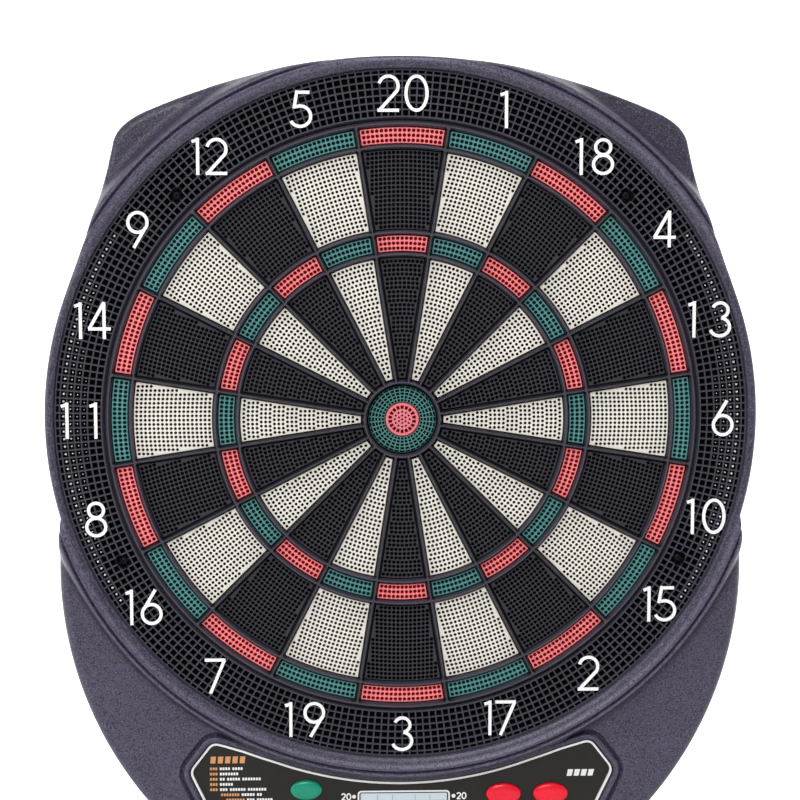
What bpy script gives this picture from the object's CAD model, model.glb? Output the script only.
"""Electronic dartboard for soft-tip darts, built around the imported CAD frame.

Lengths in this script are millimetres until a mesh is made, when they become metres.
X is the player's right, Z is up, and the player stands on the -Y side of the wall plane y = 0.
"""
import math

import bmesh
import bpy
import numpy as np
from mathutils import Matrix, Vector
from mathutils.geometry import delaunay_2d_cdt


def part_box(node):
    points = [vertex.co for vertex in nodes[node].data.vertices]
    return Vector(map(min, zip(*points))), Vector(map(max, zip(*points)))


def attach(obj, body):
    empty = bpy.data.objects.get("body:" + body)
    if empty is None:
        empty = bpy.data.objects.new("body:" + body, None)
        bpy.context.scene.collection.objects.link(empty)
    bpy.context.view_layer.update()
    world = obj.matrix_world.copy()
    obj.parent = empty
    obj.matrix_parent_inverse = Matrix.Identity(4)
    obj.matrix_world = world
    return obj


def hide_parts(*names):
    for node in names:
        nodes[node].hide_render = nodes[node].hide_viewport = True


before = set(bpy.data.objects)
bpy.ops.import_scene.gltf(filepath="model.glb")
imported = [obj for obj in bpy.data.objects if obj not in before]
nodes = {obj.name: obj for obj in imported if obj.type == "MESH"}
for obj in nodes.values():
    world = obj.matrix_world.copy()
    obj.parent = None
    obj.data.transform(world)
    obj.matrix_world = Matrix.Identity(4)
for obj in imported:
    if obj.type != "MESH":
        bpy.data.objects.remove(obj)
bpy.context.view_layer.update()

MM = 0.001
NUMBERS = [20, 1, 18, 4, 13, 6, 10, 15, 2, 17, 3, 19, 7, 16, 8, 11, 14, 9, 12, 5]
SECTOR = 18.0

# ---- depths and radii, as in the CAD frame ----
CREST_Y = -39.0
RING_Y = -36.0
FACE_Y = -35.5
SEGMENT_BACK = -26.4
SEGMENT_SIDE = 2.1
RING_DIVIDERS = [(23.5, 26.6), (108.5, 111.6), (123.2, 126.3), (179.2, 182.4), (193.9, 197.7)]
DIVIDER_HALF = 1.65
CREST_HALF = 0.38
RING_INNER = 198.0
RING_OUTER = 231.3
MOUTH_R = 231.6
RIM_R = 237.8


# ---- flat outlines ----
def polar(r, degrees):
    """The point at a radius from the bull, at an angle clockwise from the top."""
    a = math.radians(degrees)
    return (r * math.sin(a), r * math.cos(a))


def ellipse(x, z, a, b, count=48, start=0.0):
    turns = [start + 2 * math.pi * i / count for i in range(count)]
    return [(x + a * math.cos(t), z + b * math.sin(t)) for t in turns]


def circle(x, z, r, count, start=0.0):
    return ellipse(x, z, r, r, count, start)


def arc(x, z, rx, rz, start, end, count=28):
    turns = [math.radians(start + (end - start) * i / count) for i in range(count + 1)]
    return [(x + rx * math.cos(t), z + rz * math.sin(t)) for t in turns]


def curve(controls, count):
    """Points along the Bezier curve that has these control points."""
    order = len(controls) - 1
    out = []
    for i in range(count + 1):
        t = i / count
        weights = [math.comb(order, k) * (1 - t) ** (order - k) * t ** k for k in range(order + 1)]
        out.append(tuple(sum(w * c for w, c in zip(weights, axis)) for axis in zip(*controls)))
    return out


def rounded_box(x, z, w, h, r, count=6):
    out = []
    for side_x, side_z, start in ((1, -1, -90), (1, 1, 0), (-1, 1, 90), (-1, -1, 180)):
        corner = (x + side_x * (w / 2 - r), z + side_z * (h / 2 - r))
        out += arc(*corner, r, r, start, start + 90, count)
    return out


def mirrored(right, least=0.02):
    """A closed outline from its right half, listed from the bottom centre to the top centre."""
    right = [(float(x), float(z)) for x, z in right]
    outline = right + [(-x, z) for x, z in reversed(right[1:-1])]
    return [p for p, following in pairs(outline) if math.dist(p, following) > least]


def pairs(ring):
    """Each item of a closed ring with the one after it."""
    return zip(ring, ring[1:] + ring[:1])


def closed(outline):
    return outline + outline[:1]


def counter_clockwise(outline):
    area = sum(x0 * z1 - x1 * z0 for (x0, z0), (x1, z1) in pairs(outline))
    return outline if area > 0 else outline[::-1]


def scaled(outline, centre, factor):
    cx, cz = centre
    return [(cx + (x - cx) * factor, cz + (z - cz) * factor) for x, z in outline]


def inset(outline, distance, least_spread=0.4):
    """Moves a counter-clockwise outline inwards, or outwards if distance is negative."""
    p = np.array(outline, float)
    u = p - np.roll(p, 1, axis=0)
    v = np.roll(p, -1, axis=0) - p
    u /= np.linalg.norm(u, axis=1)[:, None]
    v /= np.linalg.norm(v, axis=1)[:, None]
    n = np.stack([-u[:, 1] - v[:, 1], u[:, 0] + v[:, 0]], axis=1)
    n /= np.linalg.norm(n, axis=1)[:, None]
    spread = np.maximum(least_spread, n[:, 0] * -u[:, 1] + n[:, 1] * u[:, 0])
    return [tuple(q) for q in p + n * (distance / spread)[:, None]]


def inside_distance(points, outline):
    """Distance from each point to a closed outline, positive inside it."""
    p = np.array(points, float)
    a = np.array(outline, float)
    b = np.roll(a, -1, axis=0)
    nearest = np.full(len(p), np.inf)
    crossings = np.zeros(len(p), int)
    for start, end in zip(a, b):
        step = end - start
        from_start = p - start
        t = np.clip((from_start @ step) / max(1e-12, step @ step), 0, 1)
        gap = from_start - t[:, None] * step
        nearest = np.minimum(nearest, np.einsum("ij,ij->i", gap, gap))
        if start[1] != end[1]:
            over = (start[1] > p[:, 1]) != (end[1] > p[:, 1])
            reach_x = start[0] + (p[:, 1] - start[1]) * step[0] / step[1]
            crossings += over & (p[:, 0] < reach_x)
    return np.sqrt(nearest) * np.where(crossings % 2 == 1, 1, -1)


def flat_pattern(outlines, loose=(), lines=()):
    """Triangulates outlines, loose points and lines together.

    Returns the points, the triangles, the set of outlines that each triangle lies in, and for
    each point given, the index of the point that stands for it.
    """
    coords = []
    faces = []
    edges = []
    for outline in outlines:
        faces.append(list(range(len(coords), len(coords) + len(outline))))
        coords.extend(outline)
    for line in lines:
        first = len(coords)
        coords.extend(line)
        edges.extend((first + i, first + i + 1) for i in range(len(line) - 1))
    coords.extend(loose)
    out = delaunay_2d_cdt([Vector(c) for c in coords], edges, faces, 0, 1e-5)
    where = {source: index for index, sources in enumerate(out[3]) for source in sources}
    points = [tuple(v) for v in out[0]]
    return points, [list(f) for f in out[2]], [set(ids) for ids in out[5]], where


def middles(points, tris):
    p = np.array(points)
    return np.array([p[t].mean(0) for t in tris])


# ---- solids ----
def add_ring(verts, outline, y):
    """Adds an outline's points at a depth and returns their indices."""
    first = len(verts)
    verts.extend((x, y, z) for x, z in outline)
    return list(range(first, len(verts)))


def strip(low, high):
    """The faces between two rings of the same length."""
    return [[a, b, d, c] for (a, b), (c, d) in zip(pairs(low), pairs(high))]


def tube(rings):
    """The faces of a skin through a row of rings."""
    return [face for low, high in zip(rings, rings[1:]) for face in strip(low, high)]


def slab(points, depths, tris, back):
    """Triangles at their points' depths, with a flat back and walls around the open edges."""
    verts = [(x, y, z) for (x, z), y in zip(points, depths)] + [(x, back, z) for x, z in points]
    n = len(points)
    edges = {edge for t in tris for edge in pairs(t)}
    faces = tris + [[i + n for i in reversed(t)] for t in tris]
    faces += [[a, b, b + n, a + n] for a, b in edges if (b, a) not in edges]
    return verts, faces


def prism(outline, front, back, holes=()):
    """A flat outline with holes, given thickness."""
    points, tris, inside, _ = flat_pattern([outline, *holes])
    kept = [t for t, ids in zip(tris, inside) if ids == {0}]
    return slab(points, [front] * len(points), kept, back)


def lathe(profile, x, z, count=48):
    """Turns (radius, y) pairs about an axis along Y. A radius of 0 closes that end."""
    verts = []
    faces = []
    rings = [add_ring(verts, circle(x, z, r, count) if r else [(x, z)], y) for r, y in profile]
    for low, high in zip(rings, rings[1:]):
        if len(low) == 1:
            faces += [[low[0], a, b] for a, b in pairs(high)]
        elif len(high) == 1:
            faces += [[high[0], b, a] for a, b in pairs(low)]
        else:
            faces += strip(high, low)
    return verts, faces


def merged(parts):
    """One list of vertices and one of faces for many solids."""
    verts = []
    faces = []
    for part_verts, part_faces in parts:
        first = len(verts)
        verts.extend(part_verts)
        faces.extend([i + first for i in face] for face in part_faces)
    return verts, faces


def new_mesh(name, verts, faces, smooth=None):
    """A mesh in metres. smooth is the sharpest angle, in degrees, that is shaded smooth."""
    mesh = bpy.data.meshes.new(name)
    mesh.from_pydata([(x * MM, y * MM, z * MM) for x, y, z in verts], [], faces)
    bm = bmesh.new()
    bm.from_mesh(mesh)
    bmesh.ops.remove_doubles(bm, verts=bm.verts, dist=1e-7)
    bmesh.ops.delete(bm, geom=[v for v in bm.verts if not v.link_faces], context="VERTS")
    bmesh.ops.recalc_face_normals(bm, faces=bm.faces)
    bm.to_mesh(mesh)
    bm.free()
    if smooth:
        mesh.shade_smooth()
        mesh.set_sharp_from_angle(angle=math.radians(smooth))
    return mesh


def add_object(name, data):
    obj = bpy.data.objects.new(name, data)
    bpy.context.scene.collection.objects.link(obj)
    return obj


def piece(name, mesh, look, replaces=(), body="housing", turn=0.0):
    """Puts a mesh in the scene as a piece that rides on a CAD body."""
    obj = add_object(name, mesh)
    obj.rotation_euler[1] = math.radians(turn)
    if not mesh.materials:
        mesh.materials.append(look)
    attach(obj, body)
    if replaces:
        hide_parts(*replaces)


# ---- materials ----
MOTTLE_SIZE = 28
SPECK_SIZE = 0.9
PIT_SIZE = 1.1
GLOSS_SIZE = 9
WAVE_SIZE = 14
SCUFF_SIZE = 6


class Nodes:
    """Short names for building a node tree."""

    def __init__(self, name):
        self.material = bpy.data.materials.new(name)
        self.material.use_nodes = True
        self.tree = self.material.node_tree
        self.shader = self.tree.nodes["Principled BSDF"]
        self.place = self.add("ShaderNodeTexCoord", {}, "Object")

    def feed(self, node, inputs):
        """Links each named or numbered input to an output, or sets it to a number or a colour."""
        for key, source in inputs.items():
            socket = node.inputs[key]
            if isinstance(source, bpy.types.NodeSocket):
                self.tree.links.new(source, socket)
            else:
                socket.default_value = (*source, 1.0) if socket.type == "RGBA" else source

    def add(self, kind, inputs, output, **values):
        """Adds a node with its inputs and properties set, and returns one of its outputs."""
        node = self.tree.nodes.new(kind)
        for key, value in values.items():
            setattr(node, key, value)
        self.feed(node, inputs)
        return node.outputs[output]

    def noise(self, size, detail=3.0):
        """Noise whose features are about size millimetres across."""
        inputs = {"Vector": self.place, "Scale": 1 / (size * MM), "Detail": detail,
                  "Roughness": 0.55}
        return self.add("ShaderNodeTexNoise", inputs, "Fac")

    def calculate(self, operation, *sources):
        return self.add("ShaderNodeMath", dict(enumerate(sources)), "Value", operation=operation)

    def depth(self, place):
        """The Y part of a texture coordinate: how deep a place is, or how far a face turns."""
        return self.add("ShaderNodeSeparateXYZ", {0: place}, "Y")

    def spread(self, source, low, high, to_low=0.0, to_high=1.0, smooth=False):
        """Maps the range from low to high onto another, and holds it at the ends."""
        inputs = {"Value": source, "From Min": low, "From Max": high, "To Min": to_low,
                  "To Max": to_high}
        ramp = "SMOOTHSTEP" if smooth else "LINEAR"
        return self.add("ShaderNodeMapRange", inputs, "Result", interpolation_type=ramp)

    def mix(self, factor, a, b):
        return self.add("ShaderNodeMix", {0: factor, 6: a, 7: b}, 2, data_type="RGBA")

    def bump(self, height, strength, distance, **normal):
        inputs = {"Height": height, "Strength": strength, "Distance": distance * MM}
        return self.add("ShaderNodeBump", {**inputs, **normal}, "Normal")

    def band(self, radius, half):
        """A scuffed 1 on a circle of that radius about the bull, falling to 0 at half away."""
        off_axis = {0: self.place, 1: (1, 0, 1)}
        flat = self.add("ShaderNodeVectorMath", off_axis, "Vector", operation="MULTIPLY")
        length = self.add("ShaderNodeVectorMath", {0: flat}, "Value", operation="LENGTH")
        far = self.calculate("ABSOLUTE", self.calculate("SUBTRACT", length, radius * MM))
        fade = self.spread(far, 0.0, half * MM, 1.0, 0.0, smooth=True)
        scuffed = self.spread(self.noise(SCUFF_SIZE), 0.3, 0.6, 0.45, 1.0)
        return self.calculate("MULTIPLY", fade, scuffed)


def shade(color, factor):
    return tuple(min(1.0, c * factor) for c in color)


def srgb(r, g, b):
    """Linear colour of an 8-bit one."""
    return tuple(
        c / 12.92 if c <= 0.04045 else ((c + 0.055) / 1.055) ** 2.4
        for c in (r / 255, g / 255, b / 255)
    )


def moulded(name, color, rough=0.5, grain=0.5, relief=0.15, speck=0.0, wear=0.15, deep=None,
            metallic=0.0, coat=0.0, mottle=0.1, shine=0.5, rings=(), sides=1.0, glow=None):
    """Moulded plastic: fine grain, faint mottling, light specks, worn edges and uneven gloss.

    deep is (from y, to y, colour), for walls that darken as they go in. sides is the shade of
    the faces that turn away from the player. rings are (radius, half width, colour) about the
    bull, for the shine and shadow that collect along the rim's mouldings. glow is (from y, to
    y), in metres, over which the paint starts to shine white by itself.
    """
    n = Nodes(name)
    mottled = n.spread(n.noise(MOTTLE_SIZE, 4.0), 0.3, 0.7)
    base = n.mix(mottled, shade(color, 1 - mottle), shade(color, 1 + mottle))
    if deep:
        low, high, dark = deep
        base = n.mix(n.spread(n.depth(n.place), low * MM, high * MM, smooth=True), base, dark)
    if sides < 1:
        facing = n.depth(n.add("ShaderNodeTexCoord", {}, "Normal"))
        base = n.mix(n.spread(facing, -0.9, -0.45, smooth=True), base, shade(color, sides))
    for radius, half, color_there in rings:
        base = n.mix(n.band(radius, half), base, color_there)
    if speck:
        spots = n.spread(n.noise(SPECK_SIZE, 1.0), 0.5, 0.66, 0.0, speck)
        base = n.mix(spots, base, shade(color, 2.2))
        pits = n.spread(n.noise(PIT_SIZE, 1.0), 0.34, 0.5, speck, 0.0)
        base = n.mix(pits, base, shade(color, 0.35))
    if wear:
        edges = n.add("ShaderNodeNewGeometry", {}, "Pointiness")
        rubbed = n.spread(edges, 0.51, 0.58, 0.0, wear, smooth=True)
        base = n.mix(rubbed, base, shade(color, 1.9))
    if glow:
        light = n.spread(n.depth(n.place), *glow, smooth=True)
        n.feed(n.shader, {"Emission Color": (1.0, 1.0, 1.0), "Emission Strength": light})
    glossy, dull = max(0.05, rough - 0.07), min(1.0, rough + 0.07)
    fine = n.bump(n.noise(grain), relief, 0.12)
    n.feed(n.shader, {
        "Base Color": base, "Metallic": metallic, "Specular IOR Level": shine,
        "Roughness": n.spread(n.noise(GLOSS_SIZE), 0.3, 0.7, glossy, dull),
        "Normal": n.bump(n.noise(WAVE_SIZE, 2.0), 0.04, 1.0, Normal=fine),
        "Coat Weight": coat, "Coat Roughness": 0.12,
    })
    return n.material


def segment_plastic(name, color, dark, rings=()):
    return moulded(name, color, 0.45, grain=0.35, relief=0.05, wear=0.0, mottle=0.05, shine=0.25,
                   deep=(FACE_Y + 0.05, FACE_Y + 0.8, dark), rings=rings)


def printed_paint(name, color, rough=0.4, grain=0.4, relief=0.05, **values):
    return moulded(name, color, rough, grain=grain, relief=relief, wear=0.0, **values)


def button_plastic(name, color):
    return moulded(name, color, 0.28, grain=0.4, relief=0.03, wear=0.1, shine=0.4, coat=0.1)


housing_plastic = moulded(
    "housing_plastic", srgb(68, 63, 82), 0.38, grain=0.9, relief=0.8, speck=0.95, wear=0.6,
    shine=0.4, deep=(-29.5, -26.4, srgb(48, 45, 57)), sides=0.34,
    rings=[(233.6, 2.2, srgb(42, 40, 48)), (237.4, 2.0, srgb(104, 99, 117)),
           (241.2, 0.8, srgb(38, 36, 43)), (243.2, 1.2, srgb(98, 93, 112)),
           (248.6, 2.6, srgb(48, 45, 55))])
rear_plastic = moulded("rear_plastic", srgb(52, 50, 58), 0.6, grain=0.7, relief=0.4, speck=0.15)
spider_plastic = moulded(
    "spider_plastic", srgb(59, 56, 66), 0.42, relief=0.12, wear=0.4, shine=0.3,
    deep=(CREST_Y + 0.05, CREST_Y + 1.1, srgb(24, 23, 27)))
ring_plastic = moulded(
    "ring_plastic", srgb(62, 60, 70), 0.42, relief=0.1, wear=0.3, shine=0.3,
    deep=(RING_Y + 0.1, RING_Y + 1.3, srgb(18, 16, 24)))
cream_plastic = segment_plastic("cream_plastic", srgb(227, 222, 213), srgb(44, 40, 37))
black_plastic = segment_plastic("black_plastic", srgb(52, 51, 58), srgb(9, 8, 13))
red_plastic = segment_plastic("red_plastic", srgb(246, 136, 140), srgb(206, 26, 34))
green_plastic = segment_plastic("green_plastic", srgb(88, 140, 139), srgb(2, 92, 92))
bull_green = segment_plastic("bull_green", srgb(78, 128, 124), srgb(2, 66, 66),
                             rings=[(23.4, 4.2, srgb(12, 40, 40))])
bull_red = segment_plastic("bull_red", srgb(220, 122, 132), srgb(200, 16, 32))
pip_plastic = printed_paint("pip_plastic", srgb(250, 250, 252), 0.2, 0.3, 0.02, coat=0.4)
number_paint = printed_paint("number_paint", srgb(246, 246, 246), 0.45, 0.5, 0.06, mottle=0.02)
fascia_film = printed_paint("fascia_film", srgb(36, 34, 30), 0.35, shine=0.25)
print_white = printed_paint("print_white", srgb(238, 238, 236), mottle=0.03)
print_orange = printed_paint("print_orange", srgb(214, 150, 96), mottle=0.05)
green_button = button_plastic("green_button", srgb(10, 148, 118))
red_button = button_plastic("red_button", srgb(242, 14, 46))
rubber = moulded("mat_rubber", srgb(28, 28, 30), 0.8, grain=0.6, relief=0.3)
film = moulded("switch_film", srgb(200, 196, 164), 0.35, grain=0.6, relief=0.05)
fibreboard = moulded("fibreboard", srgb(122, 92, 62), 0.8, grain=1.2, relief=0.3, mottle=0.2)
silicone = moulded("keypad_silicone", srgb(154, 154, 152), 0.6, grain=0.6, relief=0.1)
laminate = moulded("circuit_laminate", srgb(29, 90, 56), 0.35, grain=0.8, relief=0.1, mottle=0.15)
dark_plastic = moulded("dark_plastic", srgb(30, 30, 33), 0.5, grain=0.6, relief=0.2)
steel = moulded("screw_steel", srgb(190, 192, 198), 0.3, grain=0.3, relief=0.1, metallic=1.0,
                wear=0.2)
plate_steel = moulded("plate_steel", srgb(118, 120, 126), 0.5, grain=0.8, metallic=0.8, wear=0.1,
                      mottle=0.2)
black_steel = moulded("black_steel", srgb(12, 12, 14), 0.5, grain=0.3, relief=0.1, metallic=0.2,
                      wear=0.3, shine=0.2)
lcd_glass = printed_paint("lcd_glass", srgb(206, 219, 226), 0.12, 2.0, 0.01, coat=0.6, mottle=0.03)
lcd_line = printed_paint("lcd_line", srgb(150, 168, 184), 0.2, 0.5, 0.02, mottle=0.03)


# ---- target segments ----
CHAMFER = 0.35
HOLE_PITCH = 2.84
HOLE_DEPTH = 4.0
HOLE_TAPER = 0.55
BEVEL = 0.3
BEVEL_SCALE = 0.86
BULL_R = 22.6
BORE_R = 11.8
INNER_BULL_R = 11.3


def reach(r):
    """Half the angle that a segment covers at a radius, beside its dividers."""
    return SECTOR / 2 - math.degrees(math.asin(SEGMENT_SIDE / r))


def sector(inner, outer, step=9):
    far_steps = max(4, int(outer / step))
    near_steps = max(3, int(inner / step))
    far = [polar(outer, reach(outer) * (2 * i / far_steps - 1)) for i in range(far_steps + 1)]
    near = [polar(inner, reach(inner) * (1 - 2 * i / near_steps)) for i in range(near_steps + 1)]
    return counter_clockwise(far + near)


def row_radii(inner, outer, rows):
    return [inner + (outer - inner) / rows * (k + 0.5) for k in range(rows)]


def rows_of_holes(inner, outer, rows, odd, margin=1.5):
    """Centres of holes along arcs, a constant pitch apart. odd rows all have a middle hole."""
    centres = []
    for r in row_radii(inner, outer, rows):
        width = 2 * (math.radians(reach(r)) * r - margin)
        count = max(1, int(width / HOLE_PITCH) + 1)
        if odd and count % 2 == 0:
            count -= 1
        centres += [
            polar(r, math.degrees((j - (count - 1) / 2) * HOLE_PITCH / r)) for j in range(count)]
    return centres


def even_holes(inner, outer, rows, columns, margin=0.6):
    """Centres of holes along arcs, with the same number in every row."""
    centres = []
    for r in row_radii(inner, outer, rows):
        width = 2 * reach(r) - math.degrees(2 * margin / r)
        centres += [polar(r, width * ((j + 0.5) / columns - 0.5)) for j in range(columns)]
    return centres


def round_hole(x, z, r):
    return circle(x, z, r, 8, math.pi / 8)


def square_hole(x, z, r):
    """A hole with rounded corners, square to the bull."""
    turn = math.atan2(x, z)
    angles = [math.pi / 2 * i + math.radians(side) - turn for i in range(4) for side in (24, 66)]
    return [(x + r * math.cos(a), z + r * math.sin(a)) for a in angles]


def cell_hole(r, angle, deep, half_angle):
    """A cell between two arcs and two spokes, as an outline and its centre."""
    steps = [(1, -1), (1, 0), (1, 1), (0, 1.02), (-1, 1), (-1, 0), (-1, -1), (0, -1.02)]
    outline = [polar(r + deep * out, angle + half_angle * around) for out, around in steps]
    return counter_clockwise(outline), polar(r, angle)


def perforated(outline, holes, chamfer=CHAMFER):
    """A block with a chamfered front and blind, tapered holes, which are (outline, centre)."""
    points, tris, inside, where = flat_pattern(
        [inset(outline, chamfer), *[hole for hole, _ in holes]])
    verts = [(x, FACE_Y, z) for x, z in points]
    faces = [t for t, ids in zip(tris, inside) if ids == {0}]
    front = [where[i] for i in range(len(outline))]
    edge = add_ring(verts, outline, FACE_Y + chamfer)
    back = add_ring(verts, outline, SEGMENT_BACK)
    faces += tube([front, edge, back]) + [back[::-1]]
    first = len(outline)
    for hole, centre in holes:
        mouth = [where[first + i] for i in range(len(hole))]
        first += len(hole)
        lip = add_ring(verts, scaled(hole, centre, BEVEL_SCALE), FACE_Y + BEVEL)
        floor = add_ring(verts, scaled(hole, centre, HOLE_TAPER), FACE_Y + HOLE_DEPTH)
        faces += tube([floor, lip, mouth]) + [floor]
    return verts, faces


def build_segments():
    bands = [
        ("inner_single", 27.6, 108.0, rows_of_holes(28.6, 107.2, 27, odd=False)),
        ("treble", 112.2, 122.6, even_holes(112.5, 122.3, 3, 11)),
        ("outer_single", 126.8, 178.7, rows_of_holes(127.2, 178.3, 18, odd=True)),
        ("double", 182.9, 193.4, even_holes(183.2, 193.1, 3, 18)),
    ]
    for label, inner, outer, centres in bands:
        if label in ("treble", "double"):
            looks = [("dark", square_hole, 1.42, red_plastic, "red_segment"),
                     ("light", square_hole, 1.42, green_plastic, "green_segment")]
        else:
            looks = [("dark", square_hole, 1.36, black_plastic, "black_segment"),
                     ("light", round_hole, 1.16, cream_plastic, "cream_segment")]
        meshes = []
        for tone, hole, size, _, _ in looks:
            holes = [(hole(x, z, size), (x, z)) for x, z in centres]
            meshes.append(new_mesh(f"{label}_{tone}", *perforated(sector(inner, outer), holes)))
        for index, number in enumerate(NUMBERS):
            stands_for = [f"segments_{number}"] if label == "outer_single" else []
            *_, look, slot = looks[index % 2]
            piece(f"{label}_{number}", meshes[index % 2], look, stands_for,
                  f"number_{number}", turn=SECTOR * index)


def open_bore(verts, faces, outer_count, bore_count):
    """Turns the first hole of a round block into a bore that passes through it."""
    floor = next(f for f in faces if len(f) == bore_count)
    back = next(f for f in faces if len(f) == outer_count)
    faces = [f for f in faces if f is not floor and f is not back]
    for i in floor:
        x, _, z = verts[i]
        scale = BORE_R / math.hypot(x, z)
        verts[i] = (x * scale, SEGMENT_BACK, z * scale)
        verts[i - bore_count] = (x * scale, FACE_Y + BEVEL, z * scale)
    rings = [[(verts[i][0], verts[i][2]) for i in ring] for ring in (back, floor)]
    _, tris, inside, where = flat_pattern(rings)
    stands_for = {where[k]: index for k, index in enumerate(back + floor)}
    faces += [[stands_for[i] for i in t] for t, ids in zip(tris, inside) if ids == {0}]
    return verts, faces


def build_bulls():
    outline = circle(0, 0, BULL_R, 120)
    bore = circle(0, 0, BORE_R + BEVEL, 72)
    holes = [(bore, (0, 0))]
    for r in (12.95, 15.1, 17.3, 19.5, 21.55):
        deep = 0.84 if r < 21 else 0.6
        half_angle = 5.0 - math.degrees(0.27 / r)
        holes += [cell_hole(r, 10 * i, deep, half_angle) for i in range(36)]
    verts, faces = open_bore(*perforated(outline, holes), len(outline), len(bore))
    piece("outer_bull_segment", new_mesh("outer_bull", verts, faces), bull_green,
          ["outer_bull"], "outer_bull_plunger")

    centres = [(0, 0)]
    for r, count in ((2.5, 6), (4.95, 12)):
        centres += [polar(r, 360 * i / count) for i in range(count)]
    holes = [(round_hole(x, z, 0.84), (x, z)) for x, z in centres]
    holes += [cell_hole(8.1, 20 * i, 1.4, 7.9) for i in range(18)]
    mesh = new_mesh("inner_bull", *perforated(circle(0, 0, INNER_BULL_R, 72), holes, chamfer=0.7))
    piece("inner_bull_segment", mesh, bull_red, ["inner_bull"],
          "inner_bull_plunger")


# ---- spider of dividers ----
DIVIDER_DROP = 3.4
SPIDER_BACK = -26.0
NOT_COVERED = 99.0


def covered(depth, off, half):
    """Raises the surface to a divider's where a point is within half of its middle line."""
    t = np.clip((off - CREST_HALF) / (half - CREST_HALF), 0, 1)
    surface = CREST_Y + DIVIDER_DROP * t ** 1.25
    return np.where(off < half + 0.02, np.minimum(depth, surface), depth)


def spider_surface(points):
    """The dividers' depth at each point, and whether a divider is there."""
    r = np.hypot(points[:, 0], points[:, 1])
    angle = np.degrees(np.arctan2(points[:, 0], points[:, 1]))
    nearest = (np.round(angle / SECTOR - 0.5) + 0.5) * SECTOR
    off = np.abs(r * np.sin(np.radians(angle - nearest)))
    off = np.where((r > 24.9) & (r < 196), off, NOT_COVERED)
    there = off < DIVIDER_HALF
    depth = np.full(len(points), NOT_COVERED)
    for inner, outer in RING_DIVIDERS:
        half = (outer - inner) / 2
        off_ring = np.abs(r - (inner + outer) / 2)
        depth = covered(depth, off_ring, half)
        there |= off_ring - half < 1e-6
    return covered(depth, off, DIVIDER_HALF), there


def build_spider():
    lines = []
    for inner, outer in RING_DIVIDERS:
        slope = (outer - inner) / 2 - CREST_HALF
        count = 360 if inner > 100 else 120
        for r in (inner, inner + slope, outer - slope, outer):
            lines.append(closed(circle(0, 0, r, count)))
    for k in range(len(NUMBERS)):
        along = polar(1, SECTOR * (k + 0.5))
        for offset in (-DIVIDER_HALF, -CREST_HALF, CREST_HALF, DIVIDER_HALF):
            lines.append([
                (along[0] * r + along[1] * offset, along[1] * r - along[0] * offset)
                for r in (25.0, 195.5)
            ])
    points, tris, _, _ = flat_pattern([circle(0, 0, 199, 60)], lines=lines)
    depth, _ = spider_surface(np.array(points))
    _, there = spider_surface(middles(points, tris))
    kept = [t for t, is_there in zip(tris, there) if is_there]
    solid = slab(points, map(float, depth), kept, SPIDER_BACK)
    mesh = new_mesh("segment_spider", *solid, smooth=28)
    piece("spider", mesh, spider_plastic, ["segment_spider"])


# ---- catch ring ----
RIB_PITCH = 4.6
FIRST_RIB = 200.3
RIB_ROWS = 7
RIBS_AROUND = 280
RIB_HALF = 0.36
RIB_FOOT = 0.74
FOOT_Y = RING_Y + 1.0
CELL_FLOOR = -31.2
FLOOR_GROW = 0.6
DOME = 0.9
RING_BACK = -28.3
WELL_R = 4.4
WELL_Y = -31.6
SCREW_SPOTS = [polar(210, a) for a in (45, 117, 243, 315)]


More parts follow.
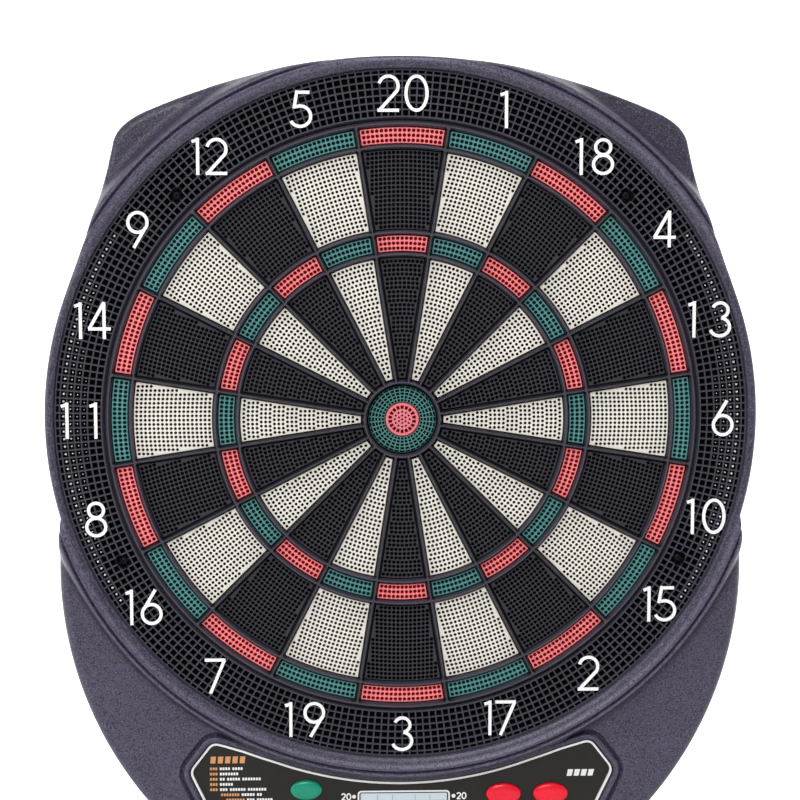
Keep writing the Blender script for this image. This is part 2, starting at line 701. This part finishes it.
def build_catch_ring():
    """A ring of square cells between thin ribs, each with a small domed floor."""
    inner_r = RING_INNER + 0.05
    radii = [inner_r]
    for k in range(RIB_ROWS):
        r = FIRST_RIB + RIB_PITCH * k
        radii += [r - RIB_HALF, r + RIB_HALF]
    radii.append(RING_OUTER - 0.9)
    step = 2 * math.pi / RIBS_AROUND
    verts = []
    faces = []

    def corner(rib, r, off, y):
        """Adds a point off to one side of a rib that runs outwards, and returns its index."""
        a = rib * step + off / r
        verts.append((r * math.sin(a), y, r * math.cos(a)))
        return len(verts) - 1

    # The top of each rib is two rows of points, one along each edge.
    tops = [
        [[corner(i, r, off, RING_Y + (2.2 if r == inner_r else 0)) for r in radii]
         for off in (-RIB_HALF, RIB_HALF)]
        for i in range(RIBS_AROUND)
    ]
    for i, ((left, right), (following, _)) in enumerate(pairs(tops)):
        for k in range(len(radii) - 1):
            faces.append([left[k], right[k], right[k + 1], left[k + 1]])
            rim = [right[k], following[k], following[k + 1], right[k + 1]]
            if k == 0 or k % 2 == 1:
                faces.append(rim)
                continue
            rings = [rim]
            for y, grow in ((FOOT_Y, RIB_FOOT - RIB_HALF), (CELL_FLOOR, FLOOR_GROW)):
                low, high, off = radii[k] + grow, radii[k + 1] - grow, RIB_HALF + grow
                rings.append([corner(i, low, off, y), corner(i + 1, low, -off, y),
                              corner(i + 1, high, -off, y), corner(i, high, off, y)])
            peak = corner(i + 0.5, (radii[k] + radii[k + 1]) / 2, 0, CELL_FLOOR - DOME)
            faces += tube(rings) + [[a, b, peak] for a, b in pairs(rings[-1])]

    def dropped(ring, radius, y):
        """Adds a copy of a ring at another radius and depth."""
        outline = []
        for index in ring:
            x, _, z = verts[index]
            scale = radius / math.hypot(x, z)
            outline.append((x * scale, z * scale))
        return add_ring(verts, outline, y)

    inner_top, outer_top = [[row[k] for rib in tops for row in rib] for k in (0, -1)]
    faces += tube([
        outer_top, dropped(outer_top, RING_OUTER, RING_Y + 0.1),
        dropped(outer_top, RING_OUTER, RING_BACK), dropped(inner_top, inner_r, RING_BACK),
        inner_top])
    # The ribs give way to a round well at each fixing screw.
    for index, (x, y, z) in enumerate(verts):
        if y < -33 and any(math.dist((x, z), spot) < WELL_R for spot in SCREW_SPOTS):
            verts[index] = (x, WELL_Y, z)
    mesh = new_mesh("catch_ring", verts, faces)
    piece("catch_ring_mesh", mesh, ring_plastic, ["catch_ring"])


def build_pips():
    """Pale pips in the outer cells at the two sides, where the photograph has bright dots."""
    parts = []
    for side in (270, 90):
        for row, spread, size in ((5, 33, 1.2), (4, 24, 0.85), (3, 13, 0.65), (2, 8, 0.5)):
            wide, narrow = 0.75 * size, 0.5 * size
            profile = [(0, -34.7), (narrow, -34.5), (wide, -33.9), (wide, -31.4), (0, -31.4)]
            for i in range(RIBS_AROUND):
                angle = (i + 0.5) * 360 / RIBS_AROUND
                if abs((angle - side + 180) % 360 - 180) < spread:
                    x, z = polar(FIRST_RIB + RIB_PITCH * (row + 0.5), angle)
                    parts.append(lathe(profile, x, z, 8))
    mesh = new_mesh("ring_pips", *merged(parts), smooth=50)
    piece("catch_ring_pips", mesh, pip_plastic)


# ---- screws ----
def cross_head(x, z, r, front, height, shaft_r, shaft_end, turn, count=32):
    """A pan-head screw with a cross recess. It points towards shaft_end."""
    inwards = height if shaft_end > front else -height
    under = front + inwards
    flat_r = r * 0.55
    verts, faces = lathe(
        [(flat_r, front), (r * 0.86, front + inwards * 0.22), (r, front + inwards * 0.6),
         (r, under), (shaft_r, under), (shaft_r, shaft_end), (0, shaft_end)], x, z, count)
    # The recess is a star of four arms, sunk into the flat of the head.
    star = []
    for i in range(4):
        arm = turn + math.pi / 2 * i
        for side in (-0.12, 0.12):
            star.append((x + r * (0.44 * math.cos(arm) - side * math.sin(arm)),
                         z + r * (0.44 * math.sin(arm) + side * math.cos(arm))))
        notch = arm + math.pi / 4
        star.append((x + r * 0.14 * math.cos(notch), z + r * 0.14 * math.sin(notch)))
    points, tris, inside, where = flat_pattern([circle(x, z, flat_r, count), star])
    flat = add_ring(verts, points, front)
    floor = add_ring(verts, star, front + inwards * 0.5)
    faces += [[flat[i] for i in t] for t, ids in zip(tris, inside) if ids == {0}]
    faces += strip([flat[where[count + i]] for i in range(len(star))], floor) + [floor]
    return verts, faces


def build_screws():
    for i, (x, z) in enumerate(SCREW_SPOTS):
        solid = cross_head(x, z, 3.0, -33.6, 1.6, 1.4, -24.0, 0.3 + i)
        mesh = new_mesh(f"ring_screw_{i}", *solid, smooth=35)
        piece(f"ring_fixing_screw_{i + 1}", mesh, black_steel,
              [f"ring_screw_{i + 1}"])
    for i in range(6):
        node = f"case_screw_{i + 1}"
        low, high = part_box(node)
        x, z = (low.x + high.x) / 2 / MM, (low.z + high.z) / 2 / MM
        solid = cross_head(x, z, 3.4, -0.35, 1.2, 1.3, -14.0, 0.2 + 0.7 * i)
        piece(f"rear_{node}", new_mesh(node, *solid, smooth=35), steel,
              [node])


# ---- numbers ----
STROKE = 2.1
DIGIT_H = 22.1
# Each number's ink is centred on its sector. The photograph spaces the two figures of a number
# unevenly, so their clear gap is given number by number. It has no 17, which is added.
FIGURE_RADIUS = 215.3
FIGURE_GAPS = {20: 2.5, 18: 6, 13: 9, 10: 5.5, 15: 2.5, 17: 1.5, 19: 7.5, 16: 5, 11: 13, 14: 3,
               12: 3}


def digit_strokes(digit):
    """Centre lines of a light geometric figure, each with whether it is closed."""
    h = DIGIT_H / 2
    end = h + 1.05
    if digit == 0:
        return [(arc(0, 0, 6.9, h, 0, 360, 56)[:-1], True)]
    if digit == 1:
        return [([(-2.5, h - 1.5), (1.4, h - 0.2)], False), ([(1.4, end), (1.4, -end)], False)]
    if digit == 2:
        top = arc(0, h - 6.4, 6.3, 6.4, 165, -32, 30)
        return [(top + [(-6.0, -h)], False), ([(-7.2, -h), (6.9, -h)], False)]
    if digit == 3:
        upper = arc(-0.2, h - 5.0, 5.2, 5.0, 158, -78, 28)
        lower = arc(-0.4, -h + 6.0, 6.6, 6.0, 82, -160, 34)
        return [(upper, False), (lower, False)]
    if digit == 4:
        peak, bar = (2.9, h + 1.0), -h + 5.6
        return [([peak, (-7.0, bar)], False), ([(-7.6, bar), (7.2, bar)], False),
                ([peak, (2.9, -end)], False)]
    if digit == 5:
        bowl = arc(-0.6, -h + 6.6, 6.9, 6.6, 112, -152, 36)
        return [([(5.6, h), (-3.6, h)], False), ([(-2.6, h + 1.2), (-4.6, 0.6)], False),
                (bowl, False)]
    if digit == 6:
        bowl = arc(0, -h + 6.5, 6.3, 6.5, 0, 360, 48)[:-1]
        return [(bowl, True), ([(2.6, end), (-5.3, -h + 9.6)], False)]
    if digit == 7:
        return [([(-7.0, h), (6.9, h)], False), ([(6.3, h), (-3.4, -end)], False)]
    if digit == 8:
        upper = arc(0, h - 4.9, 5.0, 4.9, 0, 360, 44)[:-1]
        lower = arc(0, -h + 5.95, 6.3, 5.95, 0, 360, 48)[:-1]
        return [(upper, True), (lower, True)]
    return [([(-x, -z) for x, z in line], loop) for line, loop in digit_strokes(6)]


def ribbon(line, is_closed, half):
    """The outline of a stroke, or its outer and inner outlines if it is closed."""
    if is_closed:
        loop = counter_clockwise(line)
        return [inset(loop, -half), inset(loop, half)]
    p = np.array(line, float)
    d = np.gradient(p, axis=0)
    d /= np.linalg.norm(d, axis=1)[:, None]
    n = np.stack([-d[:, 1], d[:, 0]], axis=1) * half
    return [[tuple(q) for q in (*(p - n), *(p + n)[::-1])]]


def digit_solid(digit, x, z, front, back, stroke=STROKE):
    outlines = []
    strokes = []
    for line, is_closed in digit_strokes(digit):
        first = len(outlines)
        strokes.append((first, first + 1 if is_closed else None))
        for outline in ribbon(line, is_closed, stroke / 2):
            outlines.append([(x + px, z + pz) for px, pz in outline])
    points, tris, inside, _ = flat_pattern(outlines)
    kept = [
        t for t, ids in zip(tris, inside)
        if any(outer in ids and inner not in ids for outer, inner in strokes)
    ]
    return slab(points, [front] * len(points), kept, back)


def ink_span(digit):
    """The left and right edges of a figure about its own origin."""
    xs = [x for line, _ in digit_strokes(digit) for x, z in line]
    return min(xs) - STROKE / 2, max(xs) + STROKE / 2


def figure_places(number, index):
    """Each figure of a number, with the x and z of its origin."""
    middle, z = polar(FIGURE_RADIUS, SECTOR * index)
    digits = [int(c) for c in str(number)]
    gap = FIGURE_GAPS.get(number, 0)
    width = sum(right - left for left, right in map(ink_span, digits)) + gap * (len(digits) - 1)
    edge = middle - width / 2
    places = []
    for digit in digits:
        left, right = ink_span(digit)
        places.append((digit, edge - left, z))
        edge += right - left + gap
    return places


def build_numbers():
    parts = [
        digit_solid(digit, x, z, RING_Y - 0.7, RING_Y + 0.25)
        for index, number in enumerate(NUMBERS) for digit, x, z in figure_places(number, index)
    ]
    mesh = new_mesh("ring_figures", *merged(parts))
    piece("ring_numbers", mesh, number_paint)


# ---- housing ----
SIDE_ARC = (-23.8, -103.5, 255.1)
SIDE_BOTTOM = -280.0
TOP_ARC_R, TOP_Z = 423.0, 239.6
BOTTOM_ARC_R, BOTTOM_Z = 420.0, -345.0
PANEL_ARC_R = 250.5
PANEL_TOP = -150
BODY_Y = -31.6
SHOULDER_Y = -26.0
LEDGE_Y = -26.4
# Radius and depth of the moulded rim around the mouth.
RIM_PROFILE = [
    (231.5, -37.6), (231.9, -38.9), (232.6, -39.6), (235.0, -40.3), (237.0, -40.9),
    (238.4, -41.6), (239.4, -42.0), (240.2, -41.8), (240.8, -40.4), (241.3, -39.9),
    (241.8, -40.6), (242.6, -41.4), (243.5, -41.4), (244.6, -40.2), (245.8, -37.4),
    (247.0, -33.6), (248.3, -30.0), (249.8, -27.6), (252.0, -26.2), (254.0, -26.0),
]
# Distance outside the panel and depth of its raised frame, which has a valley beyond it.
FRAME_PROFILE = [
    (-0.6, -26.4), (-0.3, -26.4), (0.3, -26.5), (0.55, -31.4), (1.1, -32.4), (2.0, -33.0),
    (3.0, -33.1), (4.0, -32.6), (4.7, -31.6), (5.3, -30.3), (5.9, -29.7), (6.6, -30.5),
    (7.6, BODY_Y),
]
# The housing's wall is thin behind the rim, deep behind the body and full depth at the edge.
BACKING_R = 235.4
EDGE_WALL = 2.0
BACK_LEVELS = (-28.6, -22.0, -0.02)


def side_x(z):
    cx, cz, r = SIDE_ARC
    return cx + math.sqrt(r * r - (z - cz) ** 2)


def bottom_z(x):
    return BOTTOM_Z + BOTTOM_ARC_R - math.sqrt(BOTTOM_ARC_R ** 2 - x * x)


def top_z(x):
    return TOP_Z - TOP_ARC_R + math.sqrt(TOP_ARC_R ** 2 - x * x)


def waist_z():
    """Height at which the side arc meets the rim's circle."""
    low, high = -110.0, -20.0
    for _ in range(60):
        mid = (low + high) / 2
        if math.hypot(side_x(mid), mid) > RIM_R:
            low = mid
        else:
            high = mid
    return low


def side_run(top):
    """The lower body's right side, from the bottom centre up to a height."""
    corner = [(70, bottom_z(70)), (110.2, -332.3), (side_x(SIDE_BOTTOM), SIDE_BOTTOM)]
    right = [(x, bottom_z(x)) for x in np.arange(0, 70, 5.0)] + curve(corner, 20)
    return right + [(side_x(z), z) for z in np.linspace(SIDE_BOTTOM + 4, top, 52)]


def shoulder_run():
    """The right shoulder, from the rim up to the top centre."""
    right = curve([(219.4, 92.3), (207.2, 123), (198.4, 150.7), (191.4, 183.3)], 22)
    right += curve([(191.4, 183.3), (188.5, 197), (165.3, top_z(165.3))], 14)
    return right + [(x, top_z(x)) for x in np.arange(158, 2, -7.0)] + [(0, TOP_Z)]


def housing_outline():
    waist = waist_z()
    start = 90 + math.degrees(math.asin(-waist / RIM_R))
    rim = [polar(RIM_R, a) for a in np.arange(start - 1.2, 68.0, -1.5)]
    return mirrored(side_run(waist) + rim + shoulder_run())


def lower_outline():
    return mirrored(side_run(-20.0) + [(200, 0), (120, -150), (0, -215)])


def shoulder_outline():
    """The shoulders' own outline, carried on behind the rim."""
    return mirrored([(0, 100), (190, 40), (226, 60), (219.4, 92.3)] + shoulder_run())


def panel_outline():
    right = [(x, -301 + 2.1 * (x / 60) ** 2) for x in np.arange(0, 100, 10.0)]
    right += curve([(117, -293.9), (122, -293), (124.2, -288.4)], 6)
    right += curve([(143.6, -247), (145.8, -242.4), (142.7, -238.3)], 6)
    right += curve([(132.6, -225.2), (129.5, -221.2), (124.5, -222.6)], 6)
    right += [(119, -224.2), (108.5, -227.4), (97, -231.6)]
    right += [polar(PANEL_ARC_R, a) for a in np.arange(160, 180, 1.5)]
    return mirrored(right + [(0, -PANEL_ARC_R)])


def rounded_edge(level, distance, width, drop):
    """A surface at a level that rounds off towards its edge."""
    t = np.clip(distance / width, 0, 1)
    return level + drop * (1 - np.sqrt(np.clip(1 - (1 - t) ** 2, 0, 1)))


def bezel_surface(p, outline, panel):
    """Depth of the housing's front at each point: the foremost of rim, body and shoulders."""
    in_body = inside_distance(p, lower_outline())
    in_shoulders = inside_distance(p, shoulder_outline())
    past_panel = -inside_distance(p, panel)
    near_panel = p[:, 1] < PANEL_TOP
    rim = np.interp(np.hypot(p[:, 0], p[:, 1]), *zip(*RIM_PROFILE), right=-10)
    rim = rounded_edge(rim, inside_distance(p, outline), 4.2, 5.5)
    crease = 0.45 * np.exp(-((in_body - 8.6) / 0.9) ** 2)
    body = np.where(in_body > 0, rounded_edge(BODY_Y, in_body, 7.5, 9.0) + crease, 0)
    framed = near_panel & (past_panel < FRAME_PROFILE[-1][0])
    body = np.where(framed, np.interp(past_panel, *zip(*FRAME_PROFILE)), body)
    top = np.where(in_shoulders > 0, rounded_edge(SHOULDER_Y, in_shoulders, 6.0, 6.5), 0)
    y = np.minimum(np.minimum(rim, body), top)
    return np.where(near_panel & (past_panel < 0.31), LEDGE_Y, y)


def bezel_pattern(outline, panel):
    """The front's points and triangles, with lines where its slope changes and a grid between."""
    lines = [closed(circle(0, 0, r, 480)) for r, _ in RIM_PROFILE[1:] + [(BACKING_R, 0)]]
    lines += [closed(inset(outline, d))
              for d in (0.35, 0.9, 1.6, EDGE_WALL, 3.0, 4.2, 5.6, 7.0, 8.4)]
    lines += [closed(inset(panel, -d)) for d, _ in reversed(FRAME_PROFILE) if d > 0]
    grid = [
        (float(x), float(z)) for x in np.arange(-232, 233, 4.0) for z in np.arange(-340, 240, 4.0)
        if math.hypot(x, z) > 253
    ]
    to_edge, to_panel = inside_distance(grid, outline), inside_distance(grid, panel)
    grid = [p for p, d, e in zip(grid, to_edge, to_panel) if d > 10 and e < -11]
    openings = [circle(0, 0, MOUTH_R, 480), inset(panel, 3.5)]
    points, tris, inside, _ = flat_pattern([outline, *openings], loose=grid, lines=lines)
    return points, [t for t, ids in zip(tris, inside) if ids == {0}]


def build_bezel():
    outline = housing_outline()
    panel = panel_outline()
    points, tris = bezel_pattern(outline, panel)
    depths = bezel_surface(np.array(points), outline, panel)
    centres = middles(points, tris)
    radii = np.hypot(centres[:, 0], centres[:, 1])
    zones = np.where(inside_distance(centres, outline) < EDGE_WALL, 2, 1)
    zones = [int(zone) for zone in np.where(radii < BACKING_R, 0, zones)]
    verts = [(x, float(y), z) for (x, z), y in zip(points, depths)]
    faces = list(tris)
    copies = {}

    def back(index, zone):
        """A point's copy at its zone's back level."""
        if (index, zone) not in copies:
            x, z = points[index]
            copies[(index, zone)] = len(verts)
            verts.append((x, BACK_LEVELS[zone], z))
        return copies[(index, zone)]

    owner = {}
    for t, zone in zip(tris, zones):
        faces.append([back(i, zone) for i in reversed(t)])
        owner.update({edge: zone for edge in pairs(t)})
    for (a, b), zone in owner.items():
        other = owner.get((b, a))
        if other is None:
            faces.append([a, b, back(b, zone), back(a, zone)])
        elif other < zone:
            faces.append([back(a, zone), back(b, zone), back(b, other), back(a, other)])
    mesh = new_mesh("front_bezel", verts, faces, smooth=38)
    piece("front_housing", mesh, housing_plastic, ["front_bezel"])


# ---- control panel ----
# Centre x and z, width and height.
LCD = (1.3, -273.1, 60.0, 27.8)
FASCIA_Y = -28.7
PRINT_Y = FASCIA_Y - 0.07
# Centre x and z, and half width and half height.
BUTTONS = {
    "green_button_upper": (-65.6, -256.4, 10.8, 6.8),
    "green_button_lower": (-65.6, -280.0, 10.8, 6.8),
    "red_button_upper_left": (69.9, -260.3, 12.0, 7.4),
    "red_button_upper_right": (102.3, -260.3, 12.0, 7.4),
    "red_button_lower_left": (69.9, -282.0, 12.0, 7.4),
    "red_button_lower_right": (102.3, -282.0, 12.0, 7.4),
}
# Share of a button's half width, and depth, from its flange to near the middle of its dome.
CAP_PROFILE = [(1.0, -26.2), (1.0, -29.5), (0.985, -30.1), (0.94, -30.6), (0.86, -31.0),
               (0.74, -31.35), (0.58, -31.6), (0.38, -31.75), (0.18, -31.8)]
FLANGE = 1.2
# The printed list: each row's left end, and the number of letters in each of its words.
PRINTED_ROWS = [
    (-131.4, (3, 4, 4)), (-131.4, (3, 7)), (-131.4, (3, 2, 5, 7)), (-131.4, (3, 5)),
    (-131.4, (3, 3, 6, 7)), (-124.0, (7, 5, 2)), (-120.4, (7, 3, 6)), (-117.4, (3, 8)),
    (-115.8, (3, 5, 4)), (-114.2, (3, 7)), (-112.8, (3, 4, 5)), (-111.4, (3, 6)),
]


def printed(outline, holes=()):
    return prism(outline, PRINT_Y, FASCIA_Y + 0.01, holes)


def printed_list():
    """Plain blocks in place of printed words, each row's first in orange and the rest in white."""
    white = [printed([(x, -248.2), (x + 3.4, -248.2), (x + 4.6, -243.6), (x + 0.9, -243.6)])
             for x in (113.4, 118.2, 123.0, 127.8)]
    warm = [printed([(x + 0.5, -237.2), (x + 3.9, -237.2), (x + 4.5, -232.4), (x + 0.9, -232.4)])
            for x in (-131.6, -126.6, -121.6, -116.6, -111.6)]
    for row, (x, words) in enumerate(PRINTED_ROWS):
        for word, letters in enumerate(words):
            for _ in range(letters):
                block = printed(rounded_box(x + 0.7, -241.0 - 3.67 * row, 1.4, 1.9, 0.3, 2))
                (white if word else warm).append(block)
                x += 1.85
            x += 1.2
    return white, warm


def score_marks(size=0.19, level=-261.6):
    """A dot and a small 20 on each side of the display."""
    x, _, w, _ = LCD
    marks = []
    for side in (-1, 1):
        marks.append(printed(circle(x + side * (w / 2 + 4.2), level, 1.35, 20)))
        for digit, spot in ((2, -1.8), (0, 1.8)):
            centre = x + side * (w / 2 + 9.6) + spot
            verts, faces = digit_solid(digit, 0, 0, PRINT_Y, FASCIA_Y + 0.01, 4.8)
            verts = [(centre + vx * size, y, level + vz * size) for vx, y, vz in verts]
            marks.append((verts, faces))
    return marks


def build_fascia():
    panel = panel_outline()
    x, z, w, h = LCD
    holes = [ellipse(bx, bz, a + 0.35, b + 0.35) for bx, bz, a, b in BUTTONS.values()]
    holes.append(rounded_box(x, z, w, h, 1.2))
    mesh = new_mesh("fascia", *prism(inset(panel, 0.1), FASCIA_Y, FASCIA_Y + 2, holes))
    piece("fascia_plate", mesh, fascia_film, ["control_fascia"])
    trim = prism(inset(panel, 0.35), FASCIA_Y - 2.4, FASCIA_Y + 0.01, [inset(panel, 1.75)])
    surround = printed(rounded_box(x, z, w + 3.4, h + 3.4, 2.6),
                       [rounded_box(x, z, w + 1.2, h + 1.2, 1.6)])
    white, warm = printed_list()
    mesh = new_mesh("fascia_print", *merged([trim, surround, *white, *score_marks()]))
    piece("fascia_white_print", mesh, print_white)
    mesh = new_mesh("fascia_warm_print", *merged(warm))
    piece("fascia_orange_print", mesh, print_orange)


def build_display():
    x, z, w, h = LCD
    pane = prism(rounded_box(x, z, w - 0.5, h - 0.5, 1.0), FASCIA_Y + 0.5, FASCIA_Y + 2)
    mesh = new_mesh("display_window", *pane)
    piece("display_glass", mesh, lcd_glass, ["display_window"])
    # Column lines, then row lines that stop short of them, as shares of the width and height.
    columns = [-0.30, -0.13, 0.13, 0.30]
    spans = [(-0.475, -0.315), (-0.285, -0.145), (-0.115, 0.115), (0.145, 0.285), (0.315, 0.475)]
    boxes = [(x + k * w, z, 0.45, h - 3) for k in columns]
    boxes += [
        (x + (a + b) / 2 * w, z + h * k, (b - a) * w, 0.4)
        for k in (0.30, 0.10, -0.10, -0.30) for a, b in spans
    ]
    cells = [prism(rounded_box(*box, 0.15, 2), FASCIA_Y + 0.44, FASCIA_Y + 0.52) for box in boxes]
    mesh = new_mesh("display_cells", *merged(cells))
    piece("display_cell_lines", mesh, lcd_line)


def build_buttons():
    for name, (x, z, a, b) in BUTTONS.items():
        verts = []
        rings = [add_ring(verts, ellipse(x, z, a + FLANGE, b + FLANGE, 56), y)
                 for y in (-25.0, CAP_PROFILE[0][1])]
        rings += [add_ring(verts, ellipse(x, z, a * k, b * k, 56), y) for k, y in CAP_PROFILE]
        faces = [rings[0], rings[-1]] + tube(rings)
        color = name.split("_")[0]
        look = green_button if color == "green" else red_button
        piece(f"{name}_cap_piece", new_mesh(name, verts, faces, smooth=40), look,
              [name], f"{name}_cap")


def dress_frame():
    """Materials for the CAD nodes that are shown as they are."""
    looks = {
        "rear_cover": rear_plastic, "battery_tray": rear_plastic, "board_support": rear_plastic,
        "battery_door": rear_plastic, "hanger_plate": plate_steel, "spring_mat": rubber,
        "switch_membrane": film, "backing_board": fibreboard, "display_module": dark_plastic,
        "left_keypad": silicone, "right_keypad": silicone, "circuit_board": laminate,
        "speaker": dark_plastic, "power_jack": dark_plastic,
        "battery_contact_left": steel, "battery_contact_right": steel,
    }
    for name, look in looks.items():
        data = nodes[name].data
        data.materials.clear()
        data.materials.append(look)


# ---- stage, in metres ----
def build_stage():
    """A pale floor that curves up into a backdrop well behind the board."""
    floor_z = BOTTOM_Z * MM - 0.001
    half, near, bend, lift, top = 8.0, -8.0, 3.2, 1.2, 6.0
    path = [(near, floor_z), (bend, floor_z)]
    path += [
        (bend + lift * math.sin(a), floor_z + lift * (1 - math.cos(a)))
        for a in np.linspace(0.1, math.pi / 2, 14)
    ]
    path.append((bend + lift, top))
    verts = [(x, y, z) for y, z in path for x in (-half, half)]
    faces = [[2 * i, 2 * i + 1, 2 * i + 3, 2 * i + 2] for i in range(len(path) - 1)]
    mesh = bpy.data.meshes.new("sweep")
    mesh.from_pydata(verts, [], faces)
    mesh.shade_smooth()
    sweep = add_object("sweep", mesh)
    # The paint glows behind the board, so that the backdrop is plain white there.
    mesh.materials.append(printed_paint(
        "sweep_paint", (0.9, 0.9, 0.9), 0.9, 3, 0.02, mottle=0.01, shine=0.0, glow=(-0.02, 0.35)))
    world = bpy.data.worlds.new("studio")
    world.use_nodes = True
    background = world.node_tree.nodes["Background"]
    background.inputs["Color"].default_value = (1, 1, 1, 1)
    background.inputs["Strength"].default_value = 0.3
    bpy.context.scene.world = world


def aimed(name, data, place, target):
    """Adds a lamp or a camera that looks from a place to a target."""
    obj = add_object(name, data)
    obj.location = place
    obj.rotation_euler = (Vector(target) - Vector(place)).to_track_quat("-Z", "Y").to_euler()
    return obj


def lamp(name, place, target, width, height, power):
    data = bpy.data.lights.new(name, "AREA")
    data.shape = "RECTANGLE"
    data.size = width
    data.size_y = height
    data.energy = power
    aimed(name, data, place, target)


def build_lights():
    lamp("front_softbox", (-0.5, -2.2, 1.5), (0, 0, 0), 1.2, 0.8, 35)
    lamp("left_strip", (-1.5, -0.6, 0.45), (-0.1, 0, 0), 0.3, 1.2, 7)
    lamp("right_strip", (1.5, -0.6, 0.45), (0.1, 0, 0), 0.3, 1.2, 2)
    lamp("top_strip", (0, -0.5, 1.6), (0, 0, 0.1), 1.2, 0.3, 10)


def build_camera():
    """The photograph's camera, a little above the board and to its left, aimed at the bull."""
    data = bpy.data.cameras.new("camera")
    data.lens = 88.7
    data.sensor_width = 36
    data.shift_x = -0.003
    data.shift_y = 0.025
    target = Vector((0, CREST_Y * MM, 0))
    elevation = math.radians(6.71)
    azimuth = math.radians(-1.84)
    distance = 1.314
    offset = distance * Vector((
        math.cos(elevation) * math.sin(azimuth),
        -math.cos(elevation) * math.cos(azimuth),
        math.sin(elevation),
    ))
    bpy.context.scene.camera = aimed("camera", data, target + offset, target)


build_segments()
build_bulls()
build_spider()
build_catch_ring()
build_pips()
build_screws()
build_numbers()
build_bezel()
build_fascia()
build_display()
build_buttons()
dress_frame()
build_stage()
build_lights()
build_camera()
bpy.context.scene.view_settings.view_transform = "Standard"
